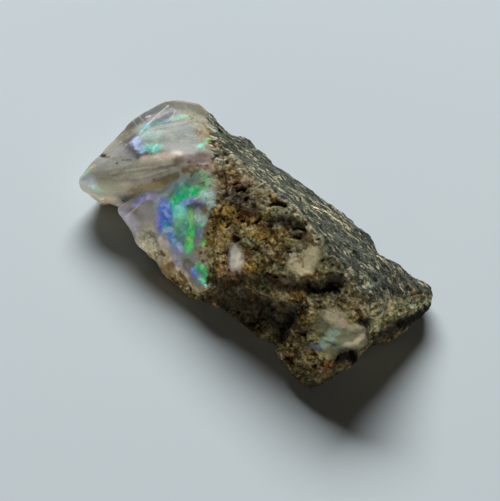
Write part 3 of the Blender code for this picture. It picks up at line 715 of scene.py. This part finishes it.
def opal_colours(p, grain, grainy, layered, streak):
    """Colour of the opal: milky grey, with stains, painted highlights and glow on its rims and streak, painted
    shade in the hollows of its grainy parts, and the play of colour in small tiles.
    """
    ragged = shaken(p, 0.28, 0.7, 90)
    wander = 1 + 0.15 * rough_noise(p, 1.8, 80) + (0.04 + 0.07 * layered) * streak
    tint = np.tile(linear(GREY), (len(p), 1))
    tint = paint(tint, LILAC_GREY, ramp(soft_noise(p, 2.6, 82), 0.0, 0.7) * 0.4)
    fine = shaken(p, 0.07, 0.5, 92)
    for colour, width, strength, path in OPAL_BODY.values():
        tint = paint(tint, colour, strength * stroke(fine if width < THIN_LINE else ragged, path, width))
    tint = OPAL_DEPTH * tint * wander[:, None]
    hatch = rough_noise(drawn_out(p, (193, 134), (205, 118), HATCH_LENGTH), HATCH_SIZE, 33, 2)
    for name, dark in (("hatched part", OLIVE), ("mauve of the stain", DARK_BROWN)):
        tint = paint(tint, dark, 0.7 * strokes(ragged, OPAL_BODY, (name,)) * ramp(hatch, 0.05, 0.35))
    tiles = Cells(p, TILE_SIZE, 84)
    places = 0.6 * tiles.seed + 0.4 * ragged
    flash = np.clip(0.85 + 0.3 * rough_noise(p, 0.7, 86) + 0.45 * (tiles.pick(0) - 0.5), 0.25, 1)
    fire = np.zeros(len(p))
    for colour, width, strength, path in OPAL_FIRE.values():
        if width < THIN_LINE:
            mask = strength * stroke(fine, path, width)
        else:
            mask = strength * stroke(places, path, width * 1.15, softness=1.2) * flash
        tint = paint(tint, colour, mask)
        fire = np.maximum(fire, mask)
    tint = paint(tint, PALE_MINT, 0.4 * fire * ramp(tiles.pick(1), 0.84, 0.9))
    tint = paint(tint, ROYAL, 0.3 * fire * ramp(tiles.pick(1), 0.14, 0.08))
    tint = tint * (1 + fire * 0.5 * (tiles.pick(2) - 0.5))[:, None]
    specks = strokes(ragged, OPAL_FIRE, ("green-grey at the top right",))
    tint = paint(tint, DARK_BROWN, specks * 0.6 * ramp(rough_noise(p, 0.3, 94), 0.2, 0.5))
    tint = tint * (1 + grainy * (0.5 * grain.pick(2) - 0.3))[:, None]
    # Painted shade: pits and low places of the grainy parts are darkened.
    tint = paint(tint, DARK_BROWN, grainy * 0.5 * grain.hollow)
    return tint, fire


def node_of(tree, kind, place=(0, 0), **values):
    """A shader node with its properties and plain inputs set."""
    made = tree.nodes.new(kind)
    made.location = place
    for name, value in values.items():
        if name in made.bl_rna.properties:
            setattr(made, name, value)
        else:
            made.inputs[name.replace("_", " ")].default_value = value
    return made


def noise_level(tree, where, size, low, high, stretch=(1.0, 1.0, 1.0), place=(-1100, 200)):
    """A factor that wanders between two values, with waves about this wide in millimetres."""
    scaled = node_of(tree, "ShaderNodeVectorMath", (place[0] - 200, place[1]), operation="MULTIPLY")
    scaled.inputs[1].default_value = stretch
    noise = node_of(tree, "ShaderNodeTexNoise", place, Scale=1 / (size * MM), Detail=4.0)
    level = node_of(tree, "ShaderNodeMapRange", (place[0] + 200, place[1]))
    for socket, value in zip(("From Min", "From Max", "To Min", "To Max"), (0.35, 0.65, low, high)):
        level.inputs[socket].default_value = value
    tree.links.new(where.outputs["Object"], scaled.inputs[0])
    tree.links.new(scaled.outputs["Vector"], noise.inputs["Vector"])
    tree.links.new(noise.outputs["Fac"], level.inputs["Value"])
    return level.outputs["Result"]


def partly(tree, factor, share, place):
    """A factor that applies fully where the share is 1, and not at all where it is 0."""
    mix = node_of(tree, "ShaderNodeMix", place)
    mix.inputs[2].default_value = 1.0
    tree.links.new(share, mix.inputs[0])
    tree.links.new(factor, mix.inputs[3])
    return mix.outputs[0]


def scaled_colour(tree, colour, factor, place):
    shade = node_of(tree, "ShaderNodeVectorMath", place, operation="SCALE")
    tree.links.new(colour, shade.inputs[0])
    tree.links.new(factor, shade.inputs["Scale"])
    return shade.outputs["Vector"]


def stone_material(name, roughness, fine, bump, variation):
    """A stone whose colour is painted on its points, broken up by fine noise in colour, gloss and height."""
    material = bpy.data.materials.new(name)
    material.use_nodes = True
    tree = material.node_tree
    shader = tree.nodes["Principled BSDF"]
    link = tree.links.new
    tint = node_of(tree, "ShaderNodeAttribute", (-900, 500), attribute_name="tint")
    gloss = node_of(tree, "ShaderNodeAttribute", (-900, 0), attribute_name="gloss")
    where = node_of(tree, "ShaderNodeTexCoord", (-1600, 0))
    grit = node_of(tree, "ShaderNodeAttribute", (-1100, 800), attribute_name="grit")
    level = noise_level(tree, where, fine, 1 - variation, 1 + variation)
    level = partly(tree, level, grit.outputs["Fac"], (-900, 800))
    colour = scaled_colour(tree, tint.outputs["Color"], level, (-650, 300))
    link(colour, shader.inputs["Base Color"])
    polish = node_of(tree, "ShaderNodeMapRange", (-650, 0))
    polish.inputs["To Min"].default_value = roughness[0]
    polish.inputs["To Max"].default_value = roughness[1]
    link(gloss.outputs["Fac"], polish.inputs["Value"])
    link(polish.outputs["Result"], shader.inputs["Roughness"])
    crumbs = node_of(tree, "ShaderNodeTexNoise", (-1100, -300), Scale=1 / (fine * MM), Detail=5.0, Roughness=0.65)
    link(where.outputs["Object"], crumbs.inputs["Vector"])
    relief = node_of(tree, "ShaderNodeBump", (-400, -300), Strength=bump, Distance=fine * MM)
    link(crumbs.outputs["Fac"], relief.inputs["Height"])
    link(relief.outputs["Normal"], shader.inputs["Normal"])
    return material, shader


def rock_material():
    material, shader = stone_material("host_rock_surface", (0.9, 0.45), 0.18, 0.5, 0.35)
    shader.inputs["Specular IOR Level"].default_value = 0.15
    tree = material.node_tree
    where = tree.nodes["Texture Coordinate"]
    slope = node_of(tree, "ShaderNodeAttribute", (-650, 700), attribute_name="slope")
    flecks = noise_level(tree, where, FLECK_SIZE, *FLECK_RANGE, FLECK_STRETCH, (-1100, 600))
    flecks = partly(tree, flecks, slope.outputs["Fac"], (-400, 600))
    base = shader.inputs["Base Color"].links[0].from_socket
    tree.links.new(scaled_colour(tree, base, flecks, (-300, 400)), shader.inputs["Base Color"])
    return material


def opal_material():
    material, shader = stone_material("opal_surface", (0.75, 0.35), 0.25, 0.12, 0.25)
    shader.inputs["Subsurface Weight"].default_value = 1.0
    shader.inputs["Subsurface Radius"].default_value = (1.0, 0.95, 0.85)
    shader.inputs["Subsurface Scale"].default_value = 2.5 * MM
    shader.inputs["IOR"].default_value = 1.45
    shader.inputs["Specular IOR Level"].default_value = 0.2
    return material


def make_floor():
    mesh = bpy.data.meshes.new("floor")
    half = FLOOR_HALF * MM
    mesh.from_pydata([(-half, -half, 0), (half, -half, 0), (half, half, 0), (-half, half, 0)], [], [(0, 1, 2, 3)])
    floor = bpy.data.objects.new("floor", mesh)
    bpy.context.scene.collection.objects.link(floor)
    material = bpy.data.materials.new("floor_paper")
    material.use_nodes = True
    shader = material.node_tree.nodes["Principled BSDF"]
    shader.inputs["Base Color"].default_value = (*linear(FLOOR_COLOUR), 1)
    shader.inputs["Roughness"].default_value = 0.7
    shader.inputs["Specular IOR Level"].default_value = 0.1
    floor.data.materials.append(material)


def make_light(name, azimuth, elevation, distance, width, height, power, colour):
    lamp = bpy.data.lights.new(name, "AREA")
    lamp.shape = "ELLIPSE"
    lamp.size, lamp.size_y = width * MM, height * MM
    lamp.energy = power
    lamp.color = linear(colour)
    obj = bpy.data.objects.new(name, lamp)
    turn, rise = math.radians(azimuth), math.radians(elevation)
    direction = Vector((math.cos(turn) * math.cos(rise), math.sin(turn) * math.cos(rise), math.sin(rise)))
    obj.location = (Vector(AIM) + direction * distance) * MM
    obj.rotation_euler = direction.to_track_quat("Z", "Y").to_euler()
    bpy.context.scene.collection.objects.link(obj)


def make_room():
    world = bpy.data.worlds.new("room")
    world.use_nodes = True
    sky = world.node_tree.nodes["Background"]
    sky.inputs["Color"].default_value = (*linear(ROOM_COLOUR), 1)
    sky.inputs["Strength"].default_value = ROOM_STRENGTH
    bpy.context.scene.world = world


def make_camera():
    data = bpy.data.cameras.new("camera")
    data.sensor_fit = "HORIZONTAL"
    data.sensor_width = CAMERA_SENSOR
    data.lens = CAMERA_SENSOR * CAMERA_DISTANCE / (PIXEL * IMAGE_WIDTH)
    data.clip_start = 0.01
    camera = bpy.data.objects.new("camera", data)
    turn = Matrix((RIGHT, UP, BACK)).transposed().to_4x4()
    camera.matrix_world = Matrix.Translation(Vector(EYE) * MM) @ turn
    bpy.context.scene.collection.objects.link(camera)
    bpy.context.scene.camera = camera


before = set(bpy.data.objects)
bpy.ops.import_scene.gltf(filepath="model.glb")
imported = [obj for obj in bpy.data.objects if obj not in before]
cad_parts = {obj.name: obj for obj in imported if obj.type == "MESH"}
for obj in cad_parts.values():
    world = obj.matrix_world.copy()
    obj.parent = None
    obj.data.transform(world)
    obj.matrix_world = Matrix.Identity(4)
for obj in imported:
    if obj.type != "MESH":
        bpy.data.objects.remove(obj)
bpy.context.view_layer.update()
make_camera()
for name, values in LIGHTS.items():
    make_light(name, *values)
make_room()
make_floor()
bpy.context.scene.view_settings.view_transform = "Standard"

rock = dense_copy("host_rock", "host_rock_stone", ROCK_VOXEL, ROCK_SOFTENING)
opal = dense_copy("opal", "opal_stone", OPAL_VOXEL, OPAL_SOFTENING)
rock_tree, opal_tree = rock.tree(), opal.tree()
thin_hidden(rock, opal_tree, ROCK_TRIANGLES)
reach_over_gap(opal, rock_tree)
even_out(opal, OPAL_VOXEL)
thin_hidden(opal, rock_tree, OPAL_TRIANGLES)
trees = [rock_tree, opal.tree()]

calm = strokes(rock.points, ROCK_BODY, CALM)
rock_grain = RockGrain(rock.points, rock.normals)
rock.keep("tint", rock_colours(rock_grain, rock.points, calm))
rock.keep("gloss", np.clip(0.3 + 0.4 * rock_grain.pick(4) + 0.5 * calm, 0, 1))
rock.keep("slope", rock_grain.far)
rock.keep("grit", 1 - 0.8 * calm)
carve(rock)
seam = 1 - ramp(nearest_on(opal_tree, rock.points)[1], 0.0, SEAM_WIDTH)
rock.push(rock_grain.height * (1 - 0.6 * np.maximum(calm, seam)) + SEAM_FILL * seam)

away = nearest_on(rock_tree, opal.points)[1]
opal_grain = RockGrain(opal.points, opal.normals)
wander = CRUST_WANDER * (rough_noise(opal.points, 1.2, 98) + opal_grain.pick(5) - 0.5)
grainy = strokes(opal.points, OPAL_BODY, ("beige grains", "brown of the stain", "rust by the tooth"))
sugary = strokes(opal.points, OPAL_BODY, ("sugary face", "sugary face, right", "sugary face, top"))
layered = strokes(opal.points, OPAL_BODY, LAYERED)
opal_height, streak = opal_relief(opal.points, sugary, layered)
opal_tint, fire = opal_colours(opal.points, opal_grain, grainy, layered, streak)
crust = 1 - ramp(away + wander, 0.6 * CRUST_WIDTH, CRUST_WIDTH)
stain = (1 - ramp(away + 1.5 * wander, 0.8 * CRUST_WIDTH, STAIN_WIDTH)) * (1 - 0.7 * fire)
stain *= 1 - 0.9 * strokes(opal.points, OPAL_BODY, ("mauve of the stain",))
coarse = np.maximum(crust, 0.4 * grainy)
opal_tint = paint(opal_tint, STAIN, STAIN_STRENGTH * stain)
crust_tint = rock_colours(opal_grain, opal.points, grainy)
opal.keep("tint", opal_tint * (1 - crust[:, None]) + crust_tint * crust[:, None])
opal.keep("gloss", np.clip(0.8 - 0.7 * coarse - 0.5 * sugary + 0.2 * fire, 0, 1))
opal.keep("grit", 0.3 + 0.7 * coarse)
carve(opal)
seam = 1 - ramp(away, 0.0, SEAM_WIDTH)
opal.push(opal_height * (1 - coarse) + opal_grain.height * coarse * (1 - 0.6 * seam) + SEAM_FILL * seam)

for skin, node, material in ((rock, "host_rock", rock_material()), (opal, "opal", opal_material())):
    skin.obj.data.materials.append(material)
    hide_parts(node)
    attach(skin.obj, "root")
    print(skin.obj.name, sum(len(f.vertices) - 2 for f in skin.obj.data.polygons), "triangles")
